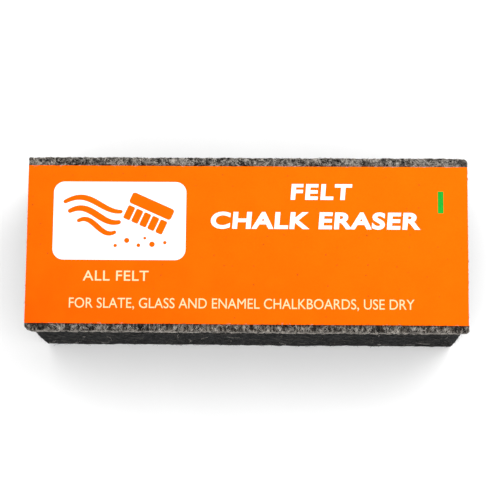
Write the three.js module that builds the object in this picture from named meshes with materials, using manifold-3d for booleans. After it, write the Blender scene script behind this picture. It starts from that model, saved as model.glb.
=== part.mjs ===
// Felt chalkboard eraser, five inches long, built as a sewn felt block:
// five folded charcoal felt strips stand side by side under a grey felt back,
// each strip is lock-stitched to the back along its fold, and a printed card
// label is glued over the stitching.
//
// Units are millimetres. +Z is up, from the wiping face to the label.
// +X runs along the length, towards the right of a reader of the label.
// +Y runs across the width, towards the top of the label.
// The origin is at the centre of the wiping face.

import * as THREE from 'three';
import * as BufferGeometryUtils from 'three/addons/utils/BufferGeometryUtils.js';
import Module from 'manifold-3d';

// ---------------------------------------------------------------- dimensions

// The whole block: 5 x 2 x 1 1/4 inches.
const LENGTH = 127.0;
const WIDTH = 50.8;
const HEIGHT = 31.75;

// Label card and the dried glue film under it.
const LABEL_THICKNESS = 0.3;
const GLUE_THICKNESS = 0.15;
const LABEL_Y_MIN = -23.2; // the near margin of bare felt is 2.2 mm wide
const LABEL_Y_MAX = 22.9; // the far margin of bare felt is 2.5 mm wide
const GLUE_INSET = 0.8; // the glue stops short of the card's edges

// Grey felt back, an eighth of an inch thick.
const BACK_THICKNESS = 3.25;
const BACK_CORNER = 0.8; // corner radius in plan
const BACK_TOP = HEIGHT - LABEL_THICKNESS - GLUE_THICKNESS;
const BACK_BOTTOM = BACK_TOP - BACK_THICKNESS;

// Folded charcoal strips.
const STRIP_COUNT = 5;
const STRIP_LENGTH = 123.8; // the back overhangs each end by 1.6 mm
const STRIP_PITCH = 10.05;
const STRIP_WIDTH = 9.7; // outside, across both legs
const STRIP_HEIGHT = BACK_BOTTOM; // from the wiping face to the back
const LEG_THICKNESS = 4.0; // the felt's own thickness
const FOLD_RADIUS = 2.8; // the outer corners of the fold, pressed against the back
const CHANNEL_WIDTH = STRIP_WIDTH - 2 * LEG_THICKNESS; // dust channel between the legs
const CHANNEL_TOP = STRIP_HEIGHT - LEG_THICKNESS;

// Lock stitches, one row along the fold of each strip.
const THREAD_DIAMETER = 0.4;
const THREAD_SIDES = 4;
const STITCH_PITCH = 10.0;
const STITCH_COUNT = 12; // needle holes in one row
const THREAD_TAIL = 4.6; // thread past the last hole at each end of a row
const HOLE_RADIUS = 0.77;
const HOLE_SIDES = 8;
const STITCH_SPREAD = 0.45; // half the width of a thread loop inside its hole
const LOCK_HEIGHT = BACK_BOTTOM - 0.1; // where the two threads hook round each other
const LOCK_REACH = 0.35; // how far each thread passes the lock height
const GROOVE_WIDTH = 0.7; // the needle thread lies sunk in the back's top face
const GROOVE_DEPTH = 0.65;
const NEEDLE_LINE = BACK_TOP - 0.36; // height of the needle thread on the back
const BOBBIN_LINE = CHANNEL_TOP - 0.32; // height of the bobbin thread in the channel

// ----------------------------------------------------------------- materials

function material(color, roughness) {
  return new THREE.MeshStandardMaterial({ color, roughness, metalness: 0 });
}

const LABEL_ORANGE = 0xfc7408;
const GLUE_CLEAR = 0xd8cfb4;
const FELT_GREY = 0x6a6763;
const FELT_CHARCOAL = 0x2f2e2f;
const THREAD_NEEDLE = 0x3c3a39;
const THREAD_BOBBIN = 0x262526;

// ----------------------------------------------------------- boolean helpers

const wasm = await Module();
wasm.setup();

// A closed three.js geometry as a solid for joining and cutting.
function solidOf(geometry) {
  const bare = geometry.clone();
  bare.deleteAttribute('normal');
  bare.deleteAttribute('uv');
  const merged = BufferGeometryUtils.mergeVertices(bare, 1e-4);
  return new wasm.Manifold(
    new wasm.Mesh({
      numProp: 3,
      vertProperties: new Float32Array(merged.attributes.position.array),
      triVerts: new Uint32Array(merged.index.array),
    }),
  );
}

// A solid back as a three.js geometry.
function geometryOf(solid) {
  const mesh = solid.getMesh();
  const geometry = new THREE.BufferGeometry();
  geometry.setAttribute('position', new THREE.BufferAttribute(new Float32Array(mesh.vertProperties), 3));
  geometry.setIndex(new THREE.BufferAttribute(new Uint32Array(mesh.triVerts), 1));
  geometry.computeVertexNormals();
  return geometry;
}

function cutAway(base, cutters) {
  let solid = solidOf(base);
  for (const cutter of cutters) solid = solid.subtract(solidOf(cutter));
  return geometryOf(solid);
}

// ------------------------------------------------------------------- shapes

// A plan outline extruded upwards from z0 to z1.
function slab(shape, z0, z1) {
  const geometry = new THREE.ExtrudeGeometry(shape, { depth: z1 - z0, bevelEnabled: false, curveSegments: 4 });
  geometry.translate(0, 0, z0);
  return geometry;
}

function rectangle(x0, x1, y0, y1, radius = 0) {
  const shape = new THREE.Shape();
  if (radius === 0) {
    shape.moveTo(x0, y0);
    shape.lineTo(x1, y0);
    shape.lineTo(x1, y1);
    shape.lineTo(x0, y1);
    shape.closePath();
    return shape;
  }
  shape.moveTo(x0 + radius, y0);
  shape.lineTo(x1 - radius, y0);
  shape.absarc(x1 - radius, y0 + radius, radius, -Math.PI / 2, 0, false);
  shape.lineTo(x1, y1 - radius);
  shape.absarc(x1 - radius, y1 - radius, radius, 0, Math.PI / 2, false);
  shape.lineTo(x0 + radius, y1);
  shape.absarc(x0 + radius, y1 - radius, radius, Math.PI / 2, Math.PI, false);
  shape.lineTo(x0, y0 + radius);
  shape.absarc(x0 + radius, y0 + radius, radius, Math.PI, 1.5 * Math.PI, false);
  shape.closePath();
  return shape;
}

// The section of one folded strip, seen along its length: two legs hanging
// from a fold, with the dust channel between them. Shape x is across the
// block and shape y is up.
function foldedSection(centre) {
  const outer = STRIP_WIDTH / 2;
  const inner = CHANNEL_WIDTH / 2;
  const roof = 0.45; // chamfer at the top of the channel, where the felt turns
  const shape = new THREE.Shape();
  shape.moveTo(centre - outer, 0);
  shape.lineTo(centre - inner, 0);
  shape.lineTo(centre - inner, CHANNEL_TOP - roof);
  shape.lineTo(centre - inner + roof, CHANNEL_TOP);
  shape.lineTo(centre + inner - roof, CHANNEL_TOP);
  shape.lineTo(centre + inner, CHANNEL_TOP - roof);
  shape.lineTo(centre + inner, 0);
  shape.lineTo(centre + outer, 0);
  shape.lineTo(centre + outer, STRIP_HEIGHT - FOLD_RADIUS);
  shape.absarc(centre + outer - FOLD_RADIUS, STRIP_HEIGHT - FOLD_RADIUS, FOLD_RADIUS, 0, Math.PI / 2, false);
  shape.lineTo(centre - outer + FOLD_RADIUS, STRIP_HEIGHT);
  shape.absarc(centre - outer + FOLD_RADIUS, STRIP_HEIGHT - FOLD_RADIUS, FOLD_RADIUS, Math.PI / 2, Math.PI, false);
  shape.closePath();
  return shape;
}

function foldedStrip(centre) {
  const geometry = new THREE.ExtrudeGeometry(foldedSection(centre), {
    depth: STRIP_LENGTH,
    bevelEnabled: false,
    curveSegments: 5,
  });
  // shape x -> +Y, shape y -> +Z, extrusion -> +X
  geometry.applyMatrix4(new THREE.Matrix4().set(0, 0, 1, -STRIP_LENGTH / 2, 1, 0, 0, 0, 0, 1, 0, 0, 0, 0, 0, 1));
  return geometry;
}

// A path that passes through its own points exactly, with a step at each.
class StitchPath extends THREE.Curve {
  constructor(points) {
    super();
    this.points = points;
  }

  getPoint(t, target = new THREE.Vector3()) {
    const at = Math.min(Math.max(t, 0), 1) * (this.points.length - 1);
    const i = Math.min(Math.floor(at), this.points.length - 2);
    return target.copy(this.points[i]).lerp(this.points[i + 1], at - i);
  }

  getPointAt(u, target) {
    return this.getPoint(u, target);
  }

  getTangentAt(u, target = new THREE.Vector3()) {
    const last = this.points.length - 1;
    const i = Math.round(Math.min(Math.max(u, 0), 1) * last);
    const before = this.points[Math.max(i - 1, 0)];
    const here = this.points[i];
    const after = this.points[Math.min(i + 1, last)];
    target.set(0, 0, 0);
    if (i > 0) target.add(here.clone().sub(before).normalize());
    if (i < last) target.add(after.clone().sub(here).normalize());
    return target.normalize();
  }
}

// A thread: a many-sided section swept along a path.
function thread(points) {
  const radius = THREAD_DIAMETER / 2;
  const section = new THREE.Shape();
  for (let i = 0; i < THREAD_SIDES; i += 1) {
    const angle = ((i + 0.5) / THREAD_SIDES) * 2 * Math.PI;
    const place = [radius * Math.cos(angle), radius * Math.sin(angle)];
    if (i === 0) section.moveTo(...place);
    else section.lineTo(...place);
  }
  section.closePath();
  return new THREE.ExtrudeGeometry(section, {
    steps: points.length - 1,
    extrudePath: new StitchPath(points),
    bevelEnabled: false,
  });
}

function stitchPlaces() {
  const places = [];
  for (let i = 0; i < STITCH_COUNT; i += 1) places.push((i - (STITCH_COUNT - 1) / 2) * STITCH_PITCH);
  return places;
}

// The needle thread lies on the back and dips into every hole as a narrow U.
function needleThread(y) {
  const places = stitchPlaces();
  const v = (x, z) => new THREE.Vector3(x, y, z);
  const points = [v(places[0] - THREAD_TAIL, NEEDLE_LINE)];
  for (const x of places) {
    points.push(v(x - STITCH_SPREAD - 0.4, NEEDLE_LINE));
    points.push(v(x - STITCH_SPREAD, NEEDLE_LINE - 0.4));
    points.push(v(x - STITCH_SPREAD, LOCK_HEIGHT + 0.05));
    points.push(v(x, LOCK_HEIGHT - LOCK_REACH));
    points.push(v(x + STITCH_SPREAD, LOCK_HEIGHT + 0.05));
    points.push(v(x + STITCH_SPREAD, NEEDLE_LINE - 0.4));
    points.push(v(x + STITCH_SPREAD + 0.4, NEEDLE_LINE));
  }
  points.push(v(places[places.length - 1] + THREAD_TAIL, NEEDLE_LINE));
  return thread(points);
}

// The bobbin thread lies in the dust channel and rises into every hole as an
// arch set square to the needle thread's U, so that each hooks the other.
function bobbinThread(y) {
  const places = stitchPlaces();
  const v = (x, dy, z) => new THREE.Vector3(x, y + dy, z);
  const points = [v(places[0] - THREAD_TAIL, 0, BOBBIN_LINE)];
  for (const x of places) {
    points.push(v(x - 0.8, 0, BOBBIN_LINE));
    points.push(v(x, STITCH_SPREAD, BOBBIN_LINE + 0.7));
    points.push(v(x, STITCH_SPREAD, LOCK_HEIGHT - 0.05));
    points.push(v(x, 0, LOCK_HEIGHT + LOCK_REACH));
    points.push(v(x, -STITCH_SPREAD, LOCK_HEIGHT - 0.05));
    points.push(v(x, -STITCH_SPREAD, BOBBIN_LINE + 0.7));
    points.push(v(x + 0.8, 0, BOBBIN_LINE));
  }
  points.push(v(places[places.length - 1] + THREAD_TAIL, 0, BOBBIN_LINE));
  return thread(points);
}

// One needle hole, as the cutter that opens it.
function needleHole(x, y, z0, z1) {
  const geometry = new THREE.CylinderGeometry(HOLE_RADIUS, HOLE_RADIUS, z1 - z0, HOLE_SIDES);
  geometry.rotateX(Math.PI / 2);
  geometry.rotateZ(Math.PI / HOLE_SIDES);
  geometry.translate(x, y, (z0 + z1) / 2);
  return geometry;
}

// ----------------------------------------------------------------- the part

const eraser = new THREE.Group();

function add(name, geometry, look) {
  const mesh = new THREE.Mesh(geometry, look);
  mesh.name = name;
  eraser.add(mesh);
}

const stripCentres = [];
for (let i = 0; i < STRIP_COUNT; i += 1) stripCentres.push((i - (STRIP_COUNT - 1) / 2) * STRIP_PITCH);

add(
  'label_card',
  slab(rectangle(-LENGTH / 2, LENGTH / 2, LABEL_Y_MIN, LABEL_Y_MAX), HEIGHT - LABEL_THICKNESS, HEIGHT),
  material(LABEL_ORANGE, 0.5),
);

add(
  'label_glue_film',
  slab(
    rectangle(
      -LENGTH / 2 + GLUE_INSET,
      LENGTH / 2 - GLUE_INSET,
      LABEL_Y_MIN + GLUE_INSET,
      LABEL_Y_MAX - GLUE_INSET,
    ),
    BACK_TOP,
    BACK_TOP + GLUE_THICKNESS,
  ),
  material(GLUE_CLEAR, 0.4),
);

const backCutters = [];
for (const y of stripCentres) {
  backCutters.push(
    slab(
      rectangle(
        -(STITCH_COUNT / 2) * STITCH_PITCH + 0.1,
        (STITCH_COUNT / 2) * STITCH_PITCH - 0.1,
        y - GROOVE_WIDTH / 2,
        y + GROOVE_WIDTH / 2,
      ),
      BACK_TOP - GROOVE_DEPTH,
      BACK_TOP + 1,
    ),
  );
  for (const x of stitchPlaces()) backCutters.push(needleHole(x, y, BACK_BOTTOM - 1, BACK_TOP + 1));
}
add(
  'felt_back',
  cutAway(
    slab(rectangle(-LENGTH / 2, LENGTH / 2, -WIDTH / 2, WIDTH / 2, BACK_CORNER), BACK_BOTTOM, BACK_TOP),
    backCutters,
  ),
  material(FELT_GREY, 0.95),
);

stripCentres.forEach((y, i) => {
  const holes = stitchPlaces().map((x) => needleHole(x, y, CHANNEL_TOP - 0.2, STRIP_HEIGHT + 1));
  add(`folded_strip_${i + 1}`, cutAway(foldedStrip(y), holes), material(FELT_CHARCOAL, 0.98));
});

stripCentres.forEach((y, i) => {
  add(`needle_thread_${i + 1}`, needleThread(y), material(THREAD_NEEDLE, 0.8));
  add(`bobbin_thread_${i + 1}`, bobbinThread(y), material(THREAD_BOBBIN, 0.8));
});

export default eraser;
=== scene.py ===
import math

import bmesh
import bpy
import numpy as np
from mathutils import Matrix, Vector


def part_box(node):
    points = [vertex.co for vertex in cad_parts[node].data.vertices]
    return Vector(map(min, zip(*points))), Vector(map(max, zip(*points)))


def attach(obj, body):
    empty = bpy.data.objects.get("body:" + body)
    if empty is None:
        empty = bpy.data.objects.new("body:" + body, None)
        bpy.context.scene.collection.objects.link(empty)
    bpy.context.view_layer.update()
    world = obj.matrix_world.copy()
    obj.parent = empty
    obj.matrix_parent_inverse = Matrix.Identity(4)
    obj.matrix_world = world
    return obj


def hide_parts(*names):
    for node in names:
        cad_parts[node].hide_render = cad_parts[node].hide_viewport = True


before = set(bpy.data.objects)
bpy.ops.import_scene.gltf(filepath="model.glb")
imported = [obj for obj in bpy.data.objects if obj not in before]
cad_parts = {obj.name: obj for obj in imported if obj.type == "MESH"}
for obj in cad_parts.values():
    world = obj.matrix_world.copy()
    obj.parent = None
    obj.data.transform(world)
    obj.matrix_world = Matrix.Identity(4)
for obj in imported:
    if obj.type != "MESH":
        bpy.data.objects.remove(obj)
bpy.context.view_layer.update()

# Everything below is worked out in millimetres and written to Blender in metres.
MM = 0.001
RNG = np.random.default_rng(20260)


def box_mm(node):
    low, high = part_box(node)
    return np.array(low) / MM, np.array(high) / MM


LABEL_LO, LABEL_HI = box_mm("label_card")
BACK_LO, BACK_HI = box_mm("felt_back")
STRIPS = [box_mm(f"folded_strip_{i}") for i in range(1, 6)]
TOP = LABEL_HI[2]

# ------------------------------------------------------------------- camera

ELEVATION, AZIMUTH, ROLL = math.radians(80.0), math.radians(7.65), math.radians(-7.20)
DISTANCE, FOCAL_PX = 518.3, 1803.2


def make_camera():
    away = Vector(
        (
            math.sin(AZIMUTH) * math.cos(ELEVATION),
            -math.cos(AZIMUTH) * math.cos(ELEVATION),
            math.sin(ELEVATION),
        )
    )
    right = (-away).cross(Vector((0, 0, 1))).normalized()
    up = right.cross(-away).normalized()
    c, s = math.cos(ROLL), math.sin(ROLL)
    x_axis, y_axis = c * right + s * up, -s * right + c * up
    data = bpy.data.cameras.new("camera")
    data.sensor_width = 36.0
    data.lens = FOCAL_PX / 500 * 36.0
    data.shift_x, data.shift_y = (250 - 246.79) / 500, -(250 - 244.17) / 500
    data.clip_start, data.clip_end = 0.02, 20
    cam = bpy.data.objects.new("camera", data)
    place = (Vector((0, 0, TOP)) + away * DISTANCE) * MM
    cam.matrix_world = Matrix(
        (
            (x_axis.x, y_axis.x, away.x, place.x),
            (x_axis.y, y_axis.y, away.y, place.y),
            (x_axis.z, y_axis.z, away.z, place.z),
            (0, 0, 0, 1),
        )
    )
    bpy.context.scene.collection.objects.link(cam)
    bpy.context.scene.camera = cam


make_camera()

# -------------------------------------------------------------------- noise


def _hash(i, j, k, seed):
    h = (i * 374761393 + j * 668265263 + k * 1103515245 + seed * 144665101) & 0xFFFFFFFF
    h = ((h ^ (h >> 13)) * 1274126177) & 0xFFFFFFFF
    h = ((h ^ (h >> 15)) * 2246822519) & 0xFFFFFFFF
    return ((h ^ (h >> 16)) & 0xFFFFFF) / float(0xFFFFFF)


def noise(p, size, seed=0):
    """Smooth noise from -1 to 1 at points p, with features about size across."""
    q = np.asarray(p, float) / size
    i = np.floor(q).astype(np.int64)
    f = q - i
    f = f * f * f * (f * (f * 6 - 15) + 10)
    out = 0.0
    for a in (0, 1):
        for b in (0, 1):
            for c in (0, 1):
                w = (
                    (f[:, 0] if a else 1 - f[:, 0])
                    * (f[:, 1] if b else 1 - f[:, 1])
                    * (f[:, 2] if c else 1 - f[:, 2])
                )
                out = out + w * _hash(i[:, 0] + a, i[:, 1] + b, i[:, 2] + c, seed)
    return out * 2 - 1


def line_noise(x, size, seed):
    p = np.zeros((len(np.atleast_1d(x)), 3))
    p[:, 0] = x
    p[:, 1] = seed * 7.31
    return noise(p, size, seed)


# ------------------------------------------------------------ mesh building


def mesh_object(name, verts, faces, smooth=True, material_index=None):
    """A piece from vertices in millimetres and an array of faces, all with the same number of corners."""
    me = bpy.data.meshes.new(name)
    verts, faces = np.asarray(verts, float), np.asarray(faces, np.int64)
    corners = faces.shape[1]
    me.vertices.add(len(verts))
    me.vertices.foreach_set("co", (verts * MM).astype(np.float32).ravel())
    me.loops.add(faces.size)
    me.loops.foreach_set("vertex_index", faces.astype(np.int32).ravel())
    me.polygons.add(len(faces))
    me.polygons.foreach_set(
        "loop_start", np.arange(0, faces.size, corners, dtype=np.int32)
    )
    if material_index is not None:
        me.polygons.foreach_set(
            "material_index", np.asarray(material_index, np.int32)
        )
    me.polygons.foreach_set("use_smooth", np.full(len(faces), smooth, bool))
    me.update(calc_edges=True)
    ob = bpy.data.objects.new(name, me)
    bpy.context.scene.collection.objects.link(ob)
    return ob


def lattice(us, vs, ws):
    """The shell of a box lattice: its points, in (u, v, w), and its quads, facing out."""
    shape = (len(us), len(vs), len(ws))
    shell = np.zeros(shape, bool)
    shell[[0, -1]] = True
    shell[:, [0, -1]] = True
    shell[:, :, [0, -1]] = True
    ids = np.full(shape, -1, np.int64)
    ids[shell] = np.arange(shell.sum())
    points = np.stack(np.meshgrid(us, vs, ws, indexing="ij"), -1)[shell]

    def face(a, flip):
        q = np.stack([a[:-1, :-1], a[1:, :-1], a[1:, 1:], a[:-1, 1:]], -1).reshape(
            -1, 4
        )
        return q[:, ::-1] if flip else q

    quads = np.concatenate(
        [
            face(ids[:, :, -1], False),
            face(ids[:, :, 0], True),
            face(ids[-1], False),
            face(ids[0], True),
            face(ids[:, -1], True),
            face(ids[:, 0], False),
        ]
    )
    return points, quads


def softened(points, size, r):
    """Box points with every edge of the box rounded to radius r."""
    inner = np.clip(points, r, np.asarray(size) - r)
    d = points - inner
    n = np.linalg.norm(d, axis=1, keepdims=True)
    return inner + d / np.maximum(n, 1e-9) * np.abs(d).max(1, keepdims=True)


def steps(length, step, r):
    """Places along an edge of a box whose ends are rounded."""
    n = max(2, int(round((length - 2 * r) / step)))
    return np.concatenate(
        [
            [0, 0.3 * r, 0.65 * r],
            np.linspace(r, length - r, n + 1),
            length - np.array([0.65 * r, 0.3 * r, 0]),
        ]
    )


def normals_of(verts, quads):
    a, b, c, d = (verts[quads[:, i]] for i in range(4))
    n = np.cross(c - a, d - b)
    out = np.zeros_like(verts)
    for i in range(4):
        np.add.at(out, quads[:, i], n)
    return out / np.maximum(np.linalg.norm(out, axis=1, keepdims=True), 1e-12)


def volume_of(verts, quads):
    a, b, c, d = (verts[quads[:, i]] for i in range(4))
    return (
        np.einsum("ij,ij->", a, np.cross(b, c))
        + np.einsum("ij,ij->", a, np.cross(c, d))
    ) / 6


# --------------------------------------------------------------------- felt


def felt_height(p, seed, amount=1.0):
    """How far a felt surface stands out at each point, in millimetres."""
    h = 0.085 * noise(p, 5.3, seed)
    h += 0.070 * noise(p, 2.3, seed + 1)
    h += 0.060 * noise(p, 1.15, seed + 2)
    ridge = 1 - np.abs(noise(p * (1.0, 1.0, 0.7), 1.6, seed + 3))
    h += 0.055 * (ridge**3 - 0.35)
    return h * amount


# How far the end of each of the ten soft legs hangs from straight, in millimetres.
# The spaces between them stay open, or close to a light touch, and never cross.
LEG_LEAN = np.array([-0.48, -1.28, -0.70, -1.30, -0.22, -1.02, 0.38, -0.52, 1.02, 0.34])
LEG_SWAY = np.array([0.10, 0.30, 0.42, 0.50, 0.52, 0.52, 0.50, 0.42, 0.30, 0.10])
STRIP_SEED = 40
FOLD_R = 2.9
LEG = 4.0
STRIP_H = STRIPS[0][1][2]
STRIP_W = STRIPS[0][1][1] - STRIPS[0][0][1]
STRIP_L = STRIPS[0][1][0] - STRIPS[0][0][0]
GAP = STRIP_W - 2 * LEG
OUTER_LEG = STRIP_H - FOLD_R
INNER_LEG = STRIP_H - LEG - GAP / 2
FOLD_LEN = math.pi * FOLD_R + STRIP_W - 2 * FOLD_R
SHEET_LEN = 2 * OUTER_LEG + FOLD_LEN
END_SHIFT = np.array([0.62, 0.10, 0.45, -0.05, 0.25])  # uneven cut ends, one for each strip
END_SHIFT_FAR = np.array([-0.15, 0.20, -0.40, 0.12, -0.20])


def lean(points, strip):
    """Moves points of a strip (as cut straight) to where its soft legs hang."""
    x, y, z = points.T
    centre = (STRIPS[strip][0][1] + STRIPS[strip][1][1]) / 2
    far_leg = (y > centre).astype(int)
    down = np.clip(1 - z / OUTER_LEG, 0, 1)
    shift = np.zeros(len(x))
    for side in (0, 1):
        mine = far_leg == side
        if mine.any():
            leg = 2 * strip + side
            xm = x[mine]
            shift[mine] = (
                LEG_LEAN[leg]
                + LEG_SWAY[leg] * line_noise(xm, 27.0, 77)
                + 0.14 * line_noise(xm, 17.0, 90 + leg)
            )
    # near the fold the stitches hold both legs, so the lean fades in over the height
    centre_fade = np.clip(np.abs(y - centre) / (GAP / 2), 0, 1)
    dy = shift * down**1.1 * centre_fade
    bow = np.sin(np.pi * np.clip(z / OUTER_LEG, 0, 1))
    if strip == 0:
        dy -= np.where(far_leg == 0, 0.16 * bow, 0)
    if strip == len(STRIPS) - 1:
        dy += np.where(far_leg == 1, 0.16 * bow, 0)
    short = 0.10 + 0.10 * line_noise(x, 22.0, 120 + 2 * strip) * 1.0
    dz = np.clip(short, 0, 0.3) * down**3
    along = np.clip(x / (STRIP_L / 2), -1, 1)
    dx = np.where(
        along > 0,
        END_SHIFT_FAR[strip] * np.abs(along) ** 6,
        END_SHIFT[strip] * np.abs(along) ** 6,
    )
    # a cut end is not quite square: it drags back towards the wiping face
    dx += -0.55 * np.sign(along) * np.abs(along) ** 8 * down**1.3
    return np.stack([x + dx, y + dy, z + dz], 1)


def fold_tables():
    """The outer and the inner line of the folded felt's section, against the place along the flat sheet."""
    n = 400
    s = np.linspace(0, SHEET_LEN, 4 * n)
    outer = np.zeros((len(s), 2))
    inner = np.zeros((len(s), 2))
    half = STRIP_W / 2
    for k, at in enumerate(s):
        if at <= OUTER_LEG:
            f = at / OUTER_LEG
            outer[k] = (-half, at)
            inner[k] = (-GAP / 2, f * INNER_LEG)
        elif at >= SHEET_LEN - OUTER_LEG:
            f = (SHEET_LEN - at) / OUTER_LEG
            outer[k] = (half, SHEET_LEN - at)
            inner[k] = (GAP / 2, f * INNER_LEG)
        else:
            q = at - OUTER_LEG
            quarter = math.pi * FOLD_R / 2
            flat = STRIP_W - 2 * FOLD_R
            if q < quarter:
                a = math.pi - q / FOLD_R
                outer[k] = (
                    -half + FOLD_R + FOLD_R * math.cos(a),
                    OUTER_LEG + FOLD_R * math.sin(a),
                )
            elif q < quarter + flat:
                outer[k] = (-half + FOLD_R + (q - quarter), STRIP_H)
            else:
                a = math.pi / 2 - (q - quarter - flat) / FOLD_R
                outer[k] = (
                    half - FOLD_R + FOLD_R * math.cos(a),
                    OUTER_LEG + FOLD_R * math.sin(a),
                )
            a = math.pi * (1 - q / FOLD_LEN)
            inner[k] = (GAP / 2 * math.cos(a), INNER_LEG + GAP / 2 * math.sin(a))
    return s, outer, inner


FOLD = fold_tables()


def strip_base(s, t, x, strip):
    """A place in the flat felt sheet (along, through, across) to its place in the folded strip."""
    table, outer, inner = FOLD
    centre = (STRIPS[strip][0][1] + STRIPS[strip][1][1]) / 2
    oy, oz = np.interp(s, table, outer[:, 0]), np.interp(s, table, outer[:, 1])
    iy, iz = np.interp(s, table, inner[:, 0]), np.interp(s, table, inner[:, 1])
    f = t / LEG
    return np.stack(
        [x - STRIP_L / 2, centre + oy + (iy - oy) * f, oz + (iz - oz) * f], 1
    )


def make_strip(strip):
    r = 0.42
    fine = strip in (0, len(STRIPS) - 1)
    s = steps(SHEET_LEN, 0.46 if fine else 0.62, r)
    t = steps(LEG, 0.45, r)
    x = steps(STRIP_L, 0.46 if fine else 0.62, r)
    pts, quads = lattice(s, t, x)
    pts = softened(pts, (SHEET_LEN, LEG, STRIP_L), r)
    base = strip_base(pts[:, 0], pts[:, 1], pts[:, 2], strip)
    if volume_of(base, quads) < 0:
        quads = quads[:, ::-1]
    n = normals_of(base, quads)
    inside = np.clip((pts[:, 1] - LEG * 0.7) / (LEG * 0.3), 0, 1)  # the channel's walls
    amount = 1.0 - 0.45 * inside
    inner_face = (pts[:, 1] < 0.2) & (base[:, 2] > 0.5)
    between = inner_face & ~(
        ((strip == 0) & (base[:, 1] < STRIPS[0][0][1] + 0.5))
        | ((strip == 4) & (base[:, 1] > STRIPS[4][1][1] - 0.5))
    )
    amount = np.where(between, 0.45, amount)
    top = base[:, 2] > STRIP_H - 0.6
    h = felt_height(base, STRIP_SEED + strip * 10) * amount
    h = np.where(top, np.minimum(h, 0) * 0.5, h)
    # away from the stitches the channel's walls swell towards each other
    room = np.clip((INNER_LEG - 0.3 - base[:, 2]) / 1.4, 0, 1)
    deep = 1 - np.clip(np.abs(base[:, 0]) / 60.0, 0, 1) ** 6
    swell = 0.26 + 0.30 * deep + 0.30 * noise(base, 10.0, 600 + strip)
    swell = np.clip(swell, 0.03, 0.78)
    wall = (pts[:, 1] > LEG - 0.15) & (np.abs(n[:, 1]) > 0.6)
    h = np.where(wall, h * 0.6 + swell * room, h)
    out = lean(base, strip) + n * h[:, None]
    # the block rests on its wiping face, so nothing there is lower than what it rests on
    out[:, 2] = np.maximum(out[:, 2], 0.015)
    return mesh_object(f"charcoal_strip_{strip + 1}", out, quads)


# ------------------------------------------------------------------- fibres


def fibre_tubes(paths, radius):
    """Closed three-sided tubes that taper to a point. paths is (fibres, points, 3)."""
    n, k, _ = paths.shape
    t = np.gradient(paths, axis=1)
    t /= np.maximum(np.linalg.norm(t, axis=2, keepdims=True), 1e-9)
    ref = np.where(np.abs(t[:, :1, 2:]) < 0.8, [[[0, 0, 1.0]]], [[[1.0, 0, 0]]])
    b = np.cross(t, np.broadcast_to(ref, t.shape))
    b /= np.maximum(np.linalg.norm(b, axis=2, keepdims=True), 1e-9)
    c = np.cross(b, t)
    u = np.linspace(0, 1, k)
    taper = (0.65 + 0.35 * np.sin(np.pi * np.clip(u * 1.2, 0, 1)))[: k - 1]
    rad = np.asarray(radius)[:, None] * taper[None]
    rings = []
    for j in range(3):
        a = 2 * math.pi * j / 3
        rings.append(
            paths[:, : k - 1]
            + rad[..., None]
            * (math.cos(a) * b[:, : k - 1] + math.sin(a) * c[:, : k - 1])
        )
    ring = np.stack(rings, 2).reshape(n, (k - 1) * 3, 3)
    verts = np.concatenate([ring, paths[:, -1:]], 1)
    per = (k - 1) * 3 + 1
    tris = [(0, 2, 1)]
    for i in range(k - 2):
        for j in range(3):
            a0, a1 = i * 3 + j, i * 3 + (j + 1) % 3
            b0, b1 = a0 + 3, a1 + 3
            tris += [(a0, a1, b1), (a0, b1, b0)]
    last = (k - 2) * 3
    for j in range(3):
        tris.append((last + j, last + (j + 1) % 3, per - 1))
    tris = np.array(tris)
    faces = (tris[None] + (np.arange(n) * per)[:, None, None]).reshape(-1, 3)
    return verts.reshape(-1, 3), faces


class Patch:
    """A flat patch of a felt face that fibres grow on: (a, b) on it to a point, with its outward direction."""

    def __init__(self, place, a_range, b_range):
        self.place, self.a, self.b = place, a_range, b_range
        self.area = (a_range[1] - a_range[0]) * (b_range[1] - b_range[0])


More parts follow.
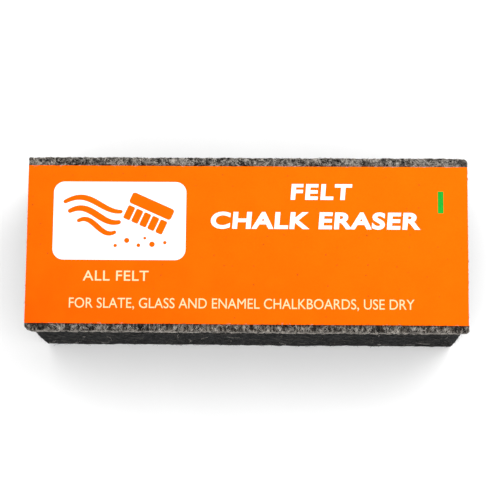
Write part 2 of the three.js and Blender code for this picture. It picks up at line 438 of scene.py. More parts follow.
def grow(patch, count, rng, length, lift, stray, bias=None, bias_amount=0.0, k=6, keep_in=0.4, tuft=1, spread=0.14):
    """Fibre paths on a patch. A stray fibre has one free end that stands off the felt.
    Fibres of one tuft start close together and run much the same way."""
    tufts = max(1, count // tuft)
    count = tufts * tuft
    a = rng.uniform(patch.a[0], patch.a[1], tufts)
    b = rng.uniform(patch.b[0], patch.b[1], tufts)
    heading = rng.uniform(0, 2 * np.pi, tufts)
    if bias is not None:
        side = np.where(rng.random(tufts) < 0.5, 0, np.pi)
        near = bias + side + rng.normal(0, 0.30, tufts)
        heading = np.where(rng.random(tufts) < bias_amount, near, heading)
    curl = rng.normal(0, 0.5, tufts)
    a, b, heading, curl = (np.repeat(v, tuft) for v in (a, b, heading, curl))
    if tuft > 1:
        a = a + rng.normal(0, spread, count)
        b = b + rng.normal(0, spread, count)
        heading = heading + rng.normal(0, 0.30, count)
        curl = curl + rng.normal(0, 0.2, count)
    long = rng.uniform(length[0], length[1], count)
    wave = rng.normal(0, 0.5, count)
    phase = rng.uniform(0, 2 * np.pi, count)
    u = np.linspace(0, 1, k)
    free = rng.random(count) < stray
    rise = np.where(free, rng.uniform(0.25, 0.95, count) * lift[1], 0)
    hump = rng.uniform(lift[0] * 0.2, lift[0], count)
    aa, bb = np.empty((count, k)), np.empty((count, k))
    hh = np.empty((count, k))
    ca, cb = a.copy(), b.copy()
    for i in range(k):
        aa[:, i], bb[:, i] = ca, cb
        theta = heading + curl * long * u[i] + wave * np.sin(2 * np.pi * u[i] + phase)
        step = long / (k - 1) * np.where(free, 1 - 0.35 * u[i], 1)
        ca = ca + np.cos(theta) * step
        cb = cb + np.sin(theta) * step
        hh[:, i] = (
            -0.03
            + hump * math.sin(math.pi * u[i]) ** 0.8
            + rise * u[i] ** 1.6
        )
    lo_a, hi_a = patch.a[0] - keep_in, patch.a[1] + keep_in
    lo_b, hi_b = patch.b[0] - keep_in, patch.b[1] + keep_in
    ok = (
        (aa.min(1) > lo_a) & (aa.max(1) < hi_a) & (bb.min(1) > lo_b) & (bb.max(1) < hi_b)
    )
    aa, bb, hh = aa[ok], bb[ok], hh[ok]
    n = len(aa)
    pos, nor = patch.place(aa.ravel(), bb.ravel())
    paths = (pos + nor * hh.ravel()[:, None]).reshape(n, k, 3)
    paths[..., 2] = np.maximum(paths[..., 2], 0.04)
    return paths


MIN_STRIP_Y = STRIPS[0][0][1]
MAX_STRIP_Y = STRIPS[-1][1][1]


def side_patch(strip, sign):
    """The outer face of the outermost strip: a along the block, b up."""
    y = MIN_STRIP_Y if sign < 0 else MAX_STRIP_Y

    def place(a, b):
        base = np.stack([a, np.full(len(a), y), b], 1)
        n = np.zeros_like(base)
        n[:, 1] = sign
        # over the fold the face turns in towards the back
        over = np.clip((b - OUTER_LEG) / FOLD_R, 0, 0.999)
        base[:, 1] -= sign * FOLD_R * (1 - np.sqrt(1 - over**2))
        n[:, 2] = over
        n /= np.linalg.norm(n, axis=1, keepdims=True)
        return (
            lean(base, strip)
            + n * felt_height(base, STRIP_SEED + strip * 10)[:, None],
            n,
        )

    return place


def end_patch(strip, leg, sign):
    """The cut end of one leg of a strip: a across the block, b up."""
    x = sign * STRIP_L / 2

    def place(a, b):
        base = np.stack([np.full(len(a), x), a, b], 1)
        n = np.zeros_like(base)
        n[:, 0] = sign
        return (
            lean(base, strip)
            + n * felt_height(base, STRIP_SEED + strip * 10)[:, None],
            n,
        )

    return place


def wiping_patch(strip):
    """The wiping end of one leg: a along the block, b across it."""

    def place(a, b):
        base = np.stack([a, b, np.zeros(len(a))], 1)
        n = np.zeros_like(base)
        n[:, 2] = -1
        out = lean(base, strip)
        out[:, 2] = np.maximum(
            out[:, 2] - felt_height(base, STRIP_SEED + strip * 10), 0.05
        )
        return out, n

    return place


BACK_SEED = 7


def back_height(p):
    """The grey felt stands out a little more where no card presses on it."""
    margin = (p[:, 1] < LABEL_LO[1]) | (p[:, 1] > LABEL_HI[1])
    h = felt_height(p, BACK_SEED, 0.95)
    top = p[:, 2] > BACK_HI[2] - 0.3
    h = np.where(top & margin, h + 0.10, h)
    edge = (np.abs(p[:, 1]) > BACK_HI[1] - 0.5) | (np.abs(p[:, 0]) > BACK_HI[0] - 0.5)
    ragged = np.where(p[:, 1] > 0, 0.12, 0.085) * noise(p * (1.0, 1.0, 0.5), 0.75, 640)
    return h + np.where(edge, ragged, 0)


def back_top_patch():
    def place(a, b):
        base = np.stack([a, b, np.full(len(a), BACK_HI[2])], 1)
        n = np.zeros_like(base)
        n[:, 2] = 1
        h = back_height(base)
        # a fibre that runs over the card lies on top of it
        on_card = (b > LABEL_LO[1] - 0.05) & (b < LABEL_HI[1] + 0.05)
        h = np.where(on_card, TOP - BACK_HI[2] + 0.05, np.minimum(h, 0.35))
        return base + n * h[:, None], n

    return place


def back_side_patch(sign):
    y = BACK_LO[1] if sign < 0 else BACK_HI[1]

    def place(a, b):
        base = np.stack([a, np.full(len(a), y), b], 1)
        n = np.zeros_like(base)
        n[:, 1] = sign
        return base + n * (back_height(base) + back_bulge(base))[:, None], n

    return place


def back_end_patch(sign):
    x = BACK_LO[0] if sign < 0 else BACK_HI[0]

    def place(a, b):
        base = np.stack([np.full(len(a), x), a, b], 1)
        n = np.zeros_like(base)
        n[:, 0] = sign
        return base + n * (back_height(base) * 0.8)[:, None], n

    return place


def back_bulge(p):
    """The long cut sides: the near one is cut a little inside the line, and leans in under the card side."""
    f = np.clip((p[:, 2] - BACK_LO[2]) / (BACK_HI[2] - BACK_LO[2]), 0, 1)
    return np.where(p[:, 1] < 0, -0.24 - 0.03 * f, 0.05 * np.sin(np.pi * f))


def make_back():
    r = 0.38
    size = BACK_HI - BACK_LO
    xs = steps(size[0], 0.5, r)
    margin = LABEL_LO[1] - BACK_LO[1]
    far = BACK_HI[1] - LABEL_HI[1]
    rows = [(lo[1] + hi[1]) / 2 - BACK_LO[1] for lo, hi in STRIPS]
    inner = set(np.round(np.arange(margin + 1.2, size[1] - far - 1.2, 1.6), 3))
    inner = {v for v in inner if min(abs(v - q) for q in rows) > 0.9}
    for q in rows:
        inner |= {q - 0.5, q - 0.34, q, q + 0.34, q + 0.5}
    ys = np.concatenate(
        [
            [0, 0.3 * r, 0.65 * r],
            np.arange(r, margin + 0.9, 0.3),
            sorted(inner),
            size[1] - np.arange(r, far + 0.9, 0.3)[::-1],
            size[1] - np.array([0.65 * r, 0.3 * r, 0]),
        ]
    )
    zs = steps(size[2], 0.36, r)
    pts, quads = lattice(xs, ys, zs)
    pts = softened(pts, size, r)
    base = pts + BACK_LO
    # each corner is worn round by a different amount: near left, near right, far left, far right
    for sx, sy, corner in ((-1, -1, 1.9), (1, -1, 0.95), (-1, 1, 0.45), (1, 1, 0.85)):
        ex, ey = (BACK_HI[0] - corner) * sx, (BACK_HI[1] - corner) * sy
        dx, dy = (base[:, 0] - ex) * sx, (base[:, 1] - ey) * sy
        both = (dx > 0) & (dy > 0)
        k = np.where(both, np.maximum(dx, dy) / np.maximum(np.hypot(dx, dy), 1e-9), 1)
        base[:, 0] = np.where(both, ex + dx * k * sx, base[:, 0])
        base[:, 1] = np.where(both, ey + dy * k * sy, base[:, 1])
    if volume_of(base, quads) < 0:
        quads = quads[:, ::-1]
    n = normals_of(base, quads)
    h = back_height(base)
    up = n[:, 2] > 0.7
    under = (base[:, 1] > LABEL_LO[1] + 0.1) & (base[:, 1] < LABEL_HI[1] - 0.1) & up
    h = np.where(under, np.minimum(h, 0) * 0.3, h)
    down = n[:, 2] < -0.7
    h = np.where(down, np.minimum(h, 0) * 0.3, h)
    out = base + n * h[:, None]
    side = np.abs(n[:, 1]) > 0.5
    out[:, 1] += np.where(side, np.sign(n[:, 1]) * back_bulge(base), 0)
    # the needle thread has drawn a groove along each row of stitches, under the card
    for q in rows:
        d = np.abs(base[:, 1] - BACK_LO[1] - q)
        inside = (np.abs(base[:, 0]) < 60.2) & up
        out[:, 2] -= np.where(inside, 0.66 * np.clip((0.5 - d) / 0.16, 0, 1), 0)
    return mesh_object("grey_felt_back", out, quads)


# ---------------------------------------------------------------- materials


class Nodes:
    """A short way to write a material's nodes."""

    def __init__(self, name):
        self.mat = bpy.data.materials.new(name)
        self.mat.use_nodes = True
        self.nt = self.mat.node_tree
        self.nt.nodes.clear()
        self.out = self.nt.nodes.new("ShaderNodeOutputMaterial")
        self.bsdf = self.nt.nodes.new("ShaderNodeBsdfPrincipled")
        self.nt.links.new(self.bsdf.outputs[0], self.out.inputs["Surface"])

    def node(self, kind, **settings):
        n = self.nt.nodes.new("ShaderNode" + kind)
        for key, value in settings.items():
            setattr(n, key, value)
        return n

    def put(self, socket, value):
        if hasattr(value, "is_output"):
            self.nt.links.new(value, socket)
        elif hasattr(value, "outputs"):
            self.nt.links.new(value.outputs[0], socket)
        else:
            socket.default_value = value

    def place(self, scale=1000.0, turn=(0, 0, 0), squash=(1, 1, 1), warp=None):
        """Object coordinates in millimetres, turned and squashed."""
        c = self.node("TexCoord").outputs["Object"]
        m = self.node("Mapping")
        m.inputs["Scale"].default_value = (scale, scale, scale)
        self.put(m.inputs["Vector"], c)
        v = m.outputs[0]
        if warp is not None:
            v = self.vmath("ADD", v, warp)
        if turn != (0, 0, 0) or squash != (1, 1, 1):
            t = self.node("Mapping")
            t.inputs["Rotation"].default_value = turn
            self.put(t.inputs["Vector"], v)
            s = self.node("Mapping")
            s.inputs["Scale"].default_value = squash
            self.put(s.inputs["Vector"], t.outputs[0])
            v = s.outputs[0]
        return v

    def noise(self, vector, scale, detail=3.0, rough=0.55, colour=False):
        n = self.node("TexNoise")
        n.inputs["Scale"].default_value = scale
        n.inputs["Detail"].default_value = detail
        n.inputs["Roughness"].default_value = rough
        self.put(n.inputs["Vector"], vector)
        return n.outputs["Color" if colour else "Fac"]

    def math(self, op, a, b=None, c=None, clamp=False):
        n = self.node("Math", operation=op, use_clamp=clamp)
        for i, v in enumerate((a, b, c)):
            if v is not None:
                self.put(n.inputs[i], v)
        return n.outputs[0]

    def vmath(self, op, a, b=None, scale=None):
        n = self.node("VectorMath", operation=op)
        self.put(n.inputs[0], a)
        if b is not None:
            self.put(n.inputs[1], b)
        if scale is not None:
            self.put(n.inputs["Scale"], scale)
        return n.outputs[0]

    def ramp(self, value, low, high, to_low=0.0, to_high=1.0, smooth=True):
        n = self.node("MapRange", interpolation_type="SMOOTHSTEP" if smooth else "LINEAR")
        self.put(n.inputs["Value"], value)
        n.inputs["From Min"].default_value = low
        n.inputs["From Max"].default_value = high
        n.inputs["To Min"].default_value = to_low
        n.inputs["To Max"].default_value = to_high
        return n.outputs[0]

    def mix(self, fac, a, b):
        n = self.node("Mix", data_type="RGBA")
        self.put(n.inputs[0], fac)
        for socket, v in ((n.inputs[6], a), (n.inputs[7], b)):
            if isinstance(v, tuple) and len(v) == 3:
                v = (*v, 1.0)
            self.put(socket, v)
        return n.outputs[2]

    def bump(self, height, distance, strength=1.0):
        n = self.node("Bump")
        n.inputs["Distance"].default_value = distance
        n.inputs["Strength"].default_value = strength
        self.put(n.inputs["Height"], height)
        self.put(self.bsdf.inputs["Normal"], n.outputs[0])

    def set(self, **values):
        for key, value in values.items():
            self.put(self.bsdf.inputs[key.replace("_", " ")], value)


def srgb(r, g, b):
    return tuple(
        (v / 255 / 12.92) if v / 255 <= 0.04045 else ((v / 255 + 0.055) / 1.055) ** 2.4
        for v in (r, g, b)
    )


def hair_lines(m, warp, turn, width, scale, stretch=0.16):
    """Thin curved lines, as fibres lying in felt: 1 on a fibre and 0 off it."""
    v = m.place(turn=turn, squash=(stretch, 1, 1), warp=warp)
    n = m.noise(v, scale, 1.5, 0.5)
    d = m.math("ABSOLUTE", m.math("SUBTRACT", n, 0.5))
    return m.ramp(d, 0.0, width, 1.0, 0.0)


def felt_material(name, dark, mid, light, clump=(0.40, 0.62), size=1.25, light_share=0.85, dark_share=0.8, drag=None, cut=None, patch=0.0, sheen=0.02):
    """Matted wool: clumps of light and dark, with single fibres over them.
    drag is (y where it starts, y where it is full): past it the fibres are pulled towards the edge, and the felt's top
    there gets painted shade.
    cut is the colour that shows more on the cut sides."""
    m = Nodes(name)
    p = m.place()
    warp = m.vmath(
        "SCALE",
        m.vmath("SUBTRACT", m.noise(p, 0.55, 2.0, 0.5, colour=True), (0.5, 0.5, 0.5)),
        scale=2.6,
    )
    l1 = hair_lines(m, warp, (0.3, 0.2, 0.5), 0.040, size, 0.28)
    l2 = hair_lines(m, warp, (1.1, 0.4, 1.9), 0.042, size * 1.15, 0.28)
    d1 = hair_lines(m, warp, (0.9, 0.1, 1.2), 0.042, size * 1.05, 0.30)
    tone = m.noise(m.vmath("ADD", p, warp), size, 5.0, 0.66)
    if drag is not None:
        sep = m.node("SeparateXYZ")
        m.put(sep.inputs[0], m.node("TexCoord").outputs["Object"])
        pulled = m.ramp(sep.outputs[1], drag[1] * MM, drag[0] * MM, 1.0, 0.0)
        pulled = m.math("MULTIPLY", pulled, m.ramp(sep.outputs[2], (BACK_HI[2] - 1.2) * MM, BACK_HI[2] * MM, 0.72, 1.0))
        streaky = m.noise(m.place(squash=(1.35, 0.13, 0.20)), size, 4.0, 0.66)
        streaky = m.math("MULTIPLY_ADD", streaky, 1.25, -0.125)
        tone = m.math(
            "ADD",
            m.math("MULTIPLY", tone, m.math("SUBTRACT", 1.0, m.math("MULTIPLY", pulled, 0.85))),
            m.math("MULTIPLY", streaky, m.math("MULTIPLY", pulled, 0.85)),
        )
    if patch:
        # some places in the felt hold more light wool than others
        wide = m.noise(p, 0.30, 2.0, 0.5)
        tone = m.math("ADD", tone, m.math("MULTIPLY", m.math("SUBTRACT", wide, 0.5), patch * 1.6))
    clumps = m.ramp(tone, *clump)
    fine = m.noise(p, size * 3.4, 3.0, 0.6)
    c = m.mix(clumps, dark, mid)
    c = m.mix(m.math("MULTIPLY", m.ramp(tone, clump[1] - 0.05, clump[1] + 0.09), 0.75), c, light)
    gate = m.ramp(m.noise(p, 0.9, 2.0, 0.5), 0.40, 0.58)
    lights = m.math("MULTIPLY", m.math("MAXIMUM", l1, l2), gate)
    if drag is not None:
        lights = m.math("MULTIPLY", lights, m.math("MULTIPLY_ADD", pulled, -0.6, 1.0))
    c = m.mix(m.math("MULTIPLY", lights, light_share), c, light)
    c = m.mix(m.math("MULTIPLY", d1, dark_share), c, tuple(v * 0.45 for v in dark))
    c = m.mix(m.ramp(fine, 0.35, 0.65, 0.0, 0.30), c, tuple(v * 0.6 for v in dark))
    if drag is not None:
        # painted shade: the near margin's top is painted darker than the far one, as the light falls off towards the
        # near side, and a painted shadow darkens it a little more beside the card's edge
        y = m.node("SeparateXYZ")
        m.put(y.inputs[0], m.node("TexCoord").outputs["Object"])
        painted_falloff_shade = m.ramp(y.outputs[1], (BACK_LO[1] + 0.30) * MM, (BACK_LO[1] + 0.75) * MM)
        painted_falloff_shade = m.math("MULTIPLY", painted_falloff_shade, m.math("MULTIPLY", pulled, 0.31))
        # painted shadow along the card's near edge
        painted_edge_shadow = m.ramp(y.outputs[1], (LABEL_LO[1] - 0.50) * MM, (LABEL_LO[1] - 0.10) * MM)
        painted_edge_shadow = m.math("MULTIPLY", painted_edge_shadow, m.math("MULTIPLY", pulled, 0.06))
        c = m.mix(m.math("ADD", painted_falloff_shade, painted_edge_shadow), c, (0.010, 0.008, 0.007))
    if cut is not None:
        sep = m.node("SeparateXYZ")
        m.put(sep.inputs[0], m.node("NewGeometry").outputs["Normal"])
        upright = m.math("ABSOLUTE", sep.outputs[2])
        side = m.ramp(upright, 0.35, 0.75, 1.0, 0.0)
        c = m.mix(m.math("MULTIPLY", m.math("MULTIPLY", side, m.ramp(tone, clump[0], clump[1])), 0.55), c, cut)
    m.set(Base_Color=c)
    m.set(Roughness=m.ramp(fine, 0.3, 0.7, 0.88, 1.0))
    m.bsdf.inputs["Specular IOR Level"].default_value = 0.02
    m.bsdf.inputs["Sheen Weight"].default_value = sheen
    m.bsdf.inputs["Sheen Roughness"].default_value = 0.7
    height = m.math(
        "ADD",
        m.math("MULTIPLY", m.math("SUBTRACT", lights, d1), 0.4),
        m.math("ADD", m.math("MULTIPLY", fine, 0.5), m.math("MULTIPLY", clumps, 0.5)),
    )
    m.bump(height, 0.00022, 1.0)
    return m.mat


def fibre_material(name, low, high, sheen=0.1):
    m = Nodes(name)
    p = m.place()
    c = m.mix(m.ramp(m.noise(p, 0.9, 3.0, 0.6), 0.3, 0.7), low, high)
    m.set(Base_Color=c)
    m.set(Roughness=m.ramp(m.noise(p, 2.5, 2.0, 0.5), 0.3, 0.7, 0.62, 0.85))
    m.bsdf.inputs["Specular IOR Level"].default_value = 0.06
    m.bsdf.inputs["Sheen Weight"].default_value = sheen
    return m.mat


CHARCOAL = felt_material(
    "charcoal_felt",
    (0.0150, 0.0154, 0.0157),
    (0.0420, 0.0432, 0.0436),
    (0.150, 0.148, 0.142),
    clump=(0.38, 0.62),
    light_share=0.60,
    dark_share=0.6,
    sheen=0.0,
)
GREY = felt_material(
    "grey_felt",
    (0.027, 0.0215, 0.0170),
    (0.165, 0.143, 0.119),
    (0.70, 0.64, 0.56),
    clump=(0.440, 0.575),
    size=1.45,
    light_share=0.90,
    dark_share=0.90,
    drag=(LABEL_LO[1] + 3.0, LABEL_LO[1] + 1.0),
    cut=(0.46, 0.43, 0.39),
    patch=0.16,
)
FIBRE_BLACK = fibre_material("fibre_black", (0.008, 0.008, 0.008), (0.022, 0.021, 0.021), 0.0)
FIBRE_CHARCOAL = fibre_material("fibre_charcoal", (0.022, 0.0225, 0.0229), (0.060, 0.061, 0.061), 0.0)
FIBRE_GREY = fibre_material("fibre_grey", (0.10, 0.092, 0.082), (0.22, 0.20, 0.178), 0.04)
FIBRE_PALE = fibre_material("fibre_pale", (0.42, 0.385, 0.345), (0.74, 0.69, 0.63), 0.04)


# the orange print in painted shade and in painted light; the print is graded between them
ORANGE_IN_PAINTED_SHADE = (0.955, 0.096, 0.0006)
ORANGE_IN_PAINTED_LIGHT = (0.965, 0.156, 0.0010)


def print_orange(name, flecks=True):
    m = Nodes(name)
    p = m.place()
    c = m.node("TexCoord").outputs["Object"]
    sep = m.node("SeparateXYZ")
    m.put(sep.inputs[0], c)
    # painted light: the orange grades from darker at the near left corner to lighter at the far right corner, as the
    # light falls off
    across = m.math(
        "ADD",
        m.math("MULTIPLY", sep.outputs[0], 1 / 0.127 * 0.62),
        m.math("MULTIPLY", sep.outputs[1], 1 / 0.046 * 0.38),
    )
    along = m.math("POWER", m.math("ADD", across, 0.5, clamp=True), 0.66)
    col = m.mix(along, ORANGE_IN_PAINTED_SHADE, ORANGE_IN_PAINTED_LIGHT)
    grain = m.noise(p, 2.6, 5.0, 0.65)
    blot = m.noise(p, 0.12, 3.0, 0.5)
    col = m.mix(
        m.ramp(grain, 0.35, 0.65, 0.0, 0.16), col, tuple(v * 0.80 for v in ORANGE_IN_PAINTED_SHADE)
    )
    col = m.mix(m.ramp(blot, 0.35, 0.7, 0.0, 0.14), col, (0.97, 0.19, 0.002))
    if flecks:
        warp = m.vmath(
            "SCALE",
            m.vmath("SUBTRACT", m.noise(p, 2.0, 2.0, 0.5, colour=True), (0.5, 0.5, 0.5)),
            scale=0.9,
        )
        v = m.node("TexVoronoi", voronoi_dimensions="2D")
        v.inputs["Scale"].default_value = 0.34
        m.put(v.inputs["Vector"], m.vmath("ADD", p, warp))
        cell = m.node("SeparateColor")
        m.put(cell.inputs[0], v.outputs["Color"])
        few = m.math("GREATER_THAN", cell.outputs[0], 0.52)
        size = m.math("MULTIPLY_ADD", m.math("POWER", cell.outputs[1], 2.0), 0.066, 0.022)
        spot = m.math("LESS_THAN", v.outputs["Distance"], size)
        spots = m.math("MULTIPLY", few, spot)
        col = m.mix(m.math("MULTIPLY", spots, 0.50), col, srgb(128, 66, 22))
        # short paper fibres, a shade darker than the print
        line = hair_lines(m, warp, (0, 0, 0.4), 0.010, 1.1, 0.2)
        gate = m.ramp(m.noise(p, 0.5, 2.0, 0.5), 0.62, 0.70)
        col = m.mix(m.math("MULTIPLY", m.math("MULTIPLY", line, gate), 0.22), col, srgb(176, 84, 22))
    m.set(Base_Color=col)
    m.set(Roughness=m.ramp(grain, 0.3, 0.7, 0.50, 0.64))
    m.bsdf.inputs["Specular IOR Level"].default_value = 0.012
    fibre = m.noise(m.place(squash=(0.5, 1.6, 1)), 3.2, 4.0, 0.6)
    m.bump(m.math("ADD", m.math("MULTIPLY", fibre, 0.6), m.math("MULTIPLY", blot, 2.0)), 0.00002, 0.8)
    return m.mat


def print_plain(name, low, high, rough=(0.48, 0.60)):
    m = Nodes(name)
    p = m.place()
    grain = m.noise(p, 2.8, 4.0, 0.6)
    blot = m.noise(p, 0.35, 3.0, 0.5)
    col = m.mix(m.ramp(m.math("ADD", m.math("MULTIPLY", grain, 0.6), m.math("MULTIPLY", blot, 0.4)), 0.35, 0.65), low, high)
    m.set(Base_Color=col)
    m.set(Roughness=m.ramp(grain, 0.3, 0.7, *rough))
    m.bsdf.inputs["Specular IOR Level"].default_value = 0.06
    m.bump(grain, 0.000008, 0.7)
    return m.mat


ORANGE = print_orange("orange_print")
ORANGE_MARK = print_orange("orange_mark_print", flecks=False)
WHITE = print_plain("white_print", (0.955, 0.952, 0.945), (0.985, 0.984, 0.98))
CREAM = print_plain("cream_print", (0.87, 0.64, 0.355), (0.91, 0.68, 0.39))  # thin letters, where the orange shows through
GREEN = print_plain("green_print", srgb(24, 156, 44), srgb(32, 174, 54))
CARD_CORE = print_plain("card_core", (0.62, 0.50, 0.38), (0.82, 0.72, 0.60), (0.8, 0.95))


def thread_material(name, low, high):
    m = Nodes(name)
    p = m.place()
    ply = m.noise(m.place(squash=(1, 4, 4)), 1.8, 3.0, 0.6)
    m.set(Base_Color=m.mix(m.ramp(ply, 0.35, 0.65), low, high))
    m.set(Roughness=m.ramp(m.noise(p, 3.0, 2.0, 0.5), 0.3, 0.7, 0.6, 0.8))
    m.bump(ply, 0.00004, 0.8)
    return m.mat


THREAD = thread_material("sewing_thread", (0.020, 0.019, 0.018), (0.060, 0.057, 0.054))


def glue_material():
    m = Nodes("dried_glue")
    p = m.place()
    n = m.noise(p, 0.7, 4.0, 0.6)
    m.set(Base_Color=m.mix(m.ramp(n, 0.35, 0.65), (0.55, 0.48, 0.34), (0.72, 0.66, 0.52)))
    m.set(Roughness=m.ramp(n, 0.3, 0.7, 0.25, 0.5))
    m.bump(n, 0.00005, 0.6)
    return m.mat


GLUE = glue_material()


def dress(ob, *mats):
    ob.data.materials.clear()
    for mat in mats:
        ob.data.materials.append(mat)


# -------------------------------------------------------------- felt pieces

back = make_back()
dress(back, GREY)
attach(back, "root")
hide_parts("felt_back")

for i in range(5):
    strip = make_strip(i)
    dress(strip, CHARCOAL)
    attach(strip, "root")
    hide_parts(f"folded_strip_{i + 1}")


def fuzz(name, groups, radius, mat, seed):
    """One piece of loose fibres. groups is [(patch, count, grow settings)]."""
    rng = np.random.default_rng(seed)
    verts, faces, at = [], [], 0
    by_k = {}
    for patch, count, how in groups:
        paths = grow(patch, count, rng, **how)
        by_k.setdefault(paths.shape[1], []).append(paths)
    for k, sets in by_k.items():
        paths = np.concatenate(sets)
        rad = rng.uniform(radius[0], radius[1], len(paths))
        v, f = fibre_tubes(paths, rad)
        verts.append(v)
        faces.append(f + at)
        at += len(v)
    ob = mesh_object(name, np.concatenate(verts), np.concatenate(faces))
    dress(ob, mat)
    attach(ob, "root")
    return ob


X_END = STRIP_L / 2
BX = BACK_HI[0]
MATTED = dict(length=(1.2, 4.2), lift=(0.10, 0.6), stray=0.05)
LOOSE = dict(length=(1.5, 5.0), lift=(0.22, 1.0), stray=0.35)

side_patches = {
    s: Patch(side_patch(0 if s < 0 else 4, s), (-X_END + 0.5, X_END - 0.5), (0.7, STRIP_H - 1.0))
    for s in (-1, 1)
}
end_patches = []
for i, (lo, hi) in enumerate(STRIPS):
    for s in (-1, 1):
        for a0 in (lo[1], hi[1] - LEG):
            end_patches.append(Patch(end_patch(i, 0, s), (a0 + 0.35, a0 + LEG - 0.35), (0.5, INNER_LEG + 0.6)))
        end_patches.append(Patch(end_patch(i, 0, s), (lo[1] + 1.2, hi[1] - 1.2), (INNER_LEG + 1.3, STRIP_H - 0.8)))
wipe_patches = []
for i, (lo, hi) in enumerate(STRIPS):
    for a0 in (lo[1], hi[1] - LEG):
        wipe_patches.append(Patch(wiping_patch(i), (-X_END + 0.5, X_END - 0.5), (a0 + 0.35, a0 + LEG - 0.35)))

for s, tag in ((-1, "near"), (1, "far")):
    P = side_patches[s]
    fuzz(
        f"fuzz_charcoal_{tag}",
        [(P, 4800, dict(MATTED, tuft=4)), (P, 1500, dict(LOOSE))],
        (0.020, 0.036), FIBRE_CHARCOAL, 11 + s,
    )
    fuzz(f"fuzz_black_{tag}", [(P, 3600, dict(MATTED, tuft=4))], (0.020, 0.038), FIBRE_BLACK, 21 + s)
    fuzz(
        f"fuzz_pale_{tag}",
        [(P, 340, dict(length=(1.5, 6.0), lift=(0.22, 0.8), stray=0.25, k=8))],
        (0.016, 0.030), FIBRE_GREY, 31 + s,
    )
    fuzz(
        f"fuzz_bright_{tag}",
        [(P, 24, dict(length=(2.0, 7.0), lift=(0.3, 1.2), stray=0.4, k=10))],
        (0.022, 0.036), FIBRE_PALE, 36 + s,
    )

for s, tag in ((-1, "left"), (1, "right")):
    mine = [p for j, p in enumerate(end_patches) if (j // 3) % 2 == (0 if s < 0 else 1)]
    short = dict(length=(0.8, 2.6), lift=(0.12, 0.6), keep_in=0.5)
    fuzz(
        f"fuzz_charcoal_{tag}",
        [(p, int(3.0 * p.area), dict(short, stray=0.16, tuft=3)) for p in mine],
        (0.020, 0.036), FIBRE_CHARCOAL, 41 + s,
    )
    fuzz(
        f"fuzz_black_{tag}",
        [(p, int(2.0 * p.area), dict(short, stray=0.1, tuft=3)) for p in mine],
        (0.020, 0.036), FIBRE_BLACK, 51 + s,
    )
    fuzz(
        f"fuzz_pale_{tag}",
        [(p, max(3, int(0.35 * p.area)), dict(length=(1.0, 3.5), lift=(0.15, 0.6), stray=0.25, keep_in=1.2, k=7)) for p in mine],
        (0.015, 0.028), FIBRE_GREY, 61 + s,
    )
fuzz(
    "fuzz_charcoal_under",
    [(p, int(0.9 * p.area), dict(length=(0.8, 2.6), lift=(0.0, 0.0), stray=0.0, tuft=3)) for p in wipe_patches],
    (0.018, 0.032), FIBRE_CHARCOAL, 71,
)

# The grey felt: its bare margins, its long cut sides and its cut ends.
near_margin = Patch(back_top_patch(), (-BX + 0.9, BX - 0.6), (BACK_LO[1] + 0.1, LABEL_LO[1] - 0.10))
far_margin = Patch(back_top_patch(), (-BX + 0.4, BX - 0.6), (LABEL_HI[1] + 0.10, BACK_HI[1] - 0.1))
near_side = Patch(back_side_patch(-1), (-BX + 1.9, BX - 0.9), (BACK_LO[2] + 0.15, BACK_HI[2] - 0.15))
near_lip = Patch(back_side_patch(-1), (-BX + 1.6, BX - 0.8), (BACK_LO[2] + 0.05, BACK_LO[2] + 0.75))
far_side = Patch(back_side_patch(1), (-BX + 0.4, BX - 0.6), (BACK_LO[2] + 0.15, BACK_HI[2] - 0.15))
far_lip = Patch(back_side_patch(1), (-BX + 0.4, BX - 0.6), (BACK_LO[2] + 0.05, BACK_LO[2] + 0.75))
back_ends = [Patch(back_end_patch(s), (BACK_LO[1] + (1.9 if s < 0 else 0.9), BACK_HI[1] - 0.5), (BACK_LO[2] + 0.2, BACK_HI[2] - 0.35)) for s in (-1, 1)]
ACROSS = math.pi / 2

for tag, margin, side, lip in (("near", near_margin, near_side, near_lip), ("far", far_margin, far_side, far_lip)):
    drawn = tag == "near"  # the near margin is wiped on, and its fibres are drawn out towards the edge
    if drawn:
        how = dict(length=(1.2, 2.5), lift=(0.14, 0.42), stray=0.05, bias=ACROSS, bias_amount=0.97, keep_in=0.28, tuft=9, spread=0.07)
    else:
        how = dict(length=(0.8, 2.3), lift=(0.14, 0.42), stray=0.06, bias=ACROSS, bias_amount=0.15, keep_in=0.22, tuft=7, spread=0.09)
    on_side = dict(length=(0.7, 2.2), lift=(0.12, 0.45), stray=0.14, bias=ACROSS, bias_amount=0.45, keep_in=0.30, tuft=5, spread=0.10)
    crossing = dict(length=(0.7, 1.8), lift=(0.10, 0.35), stray=0.3, bias=ACROSS, bias_amount=0.75, keep_in=0.55, tuft=5, spread=0.10)
    on_lip = dict(length=(0.8, 3.0), lift=(0.16, 0.35), stray=0.12, bias=0.0, bias_amount=0.75, keep_in=0.25, tuft=4, spread=0.08)
    over = dict(length=(0.8, 2.4), lift=(0.22, 0.55), stray=0.35, bias=ACROSS, bias_amount=0.6, keep_in=0.75, tuft=5, spread=0.12)
    n = len(tag)
    fuzz(
        f"fuzz_back_pale_{tag}",
        [(margin, 1900 if drawn else 1600, dict(how)), (side, 1500, dict(on_side)), (lip, 2300 if drawn else 2000, dict(on_lip)), (margin, 40 if drawn else 210, dict(over)), (margin, 90 if drawn else 260, dict(crossing))],
        (0.020, 0.036), FIBRE_PALE, 81 + n,
    )
    fuzz(
        f"fuzz_back_grey_{tag}",
        [(margin, 1500, dict(how, tuft=3)), (side, 1500, dict(on_side, tuft=3)), (lip, 300, dict(on_lip))],
        (0.020, 0.036), FIBRE_GREY, 91 + n,
    )
    fuzz(
        f"fuzz_back_black_{tag}",
        [(margin, 3300 if drawn else 2200, dict(how)), (side, 1100, dict(on_side)), (margin, 240, dict(crossing))],
        (0.022, 0.040), FIBRE_BLACK, 101 + n,
    )
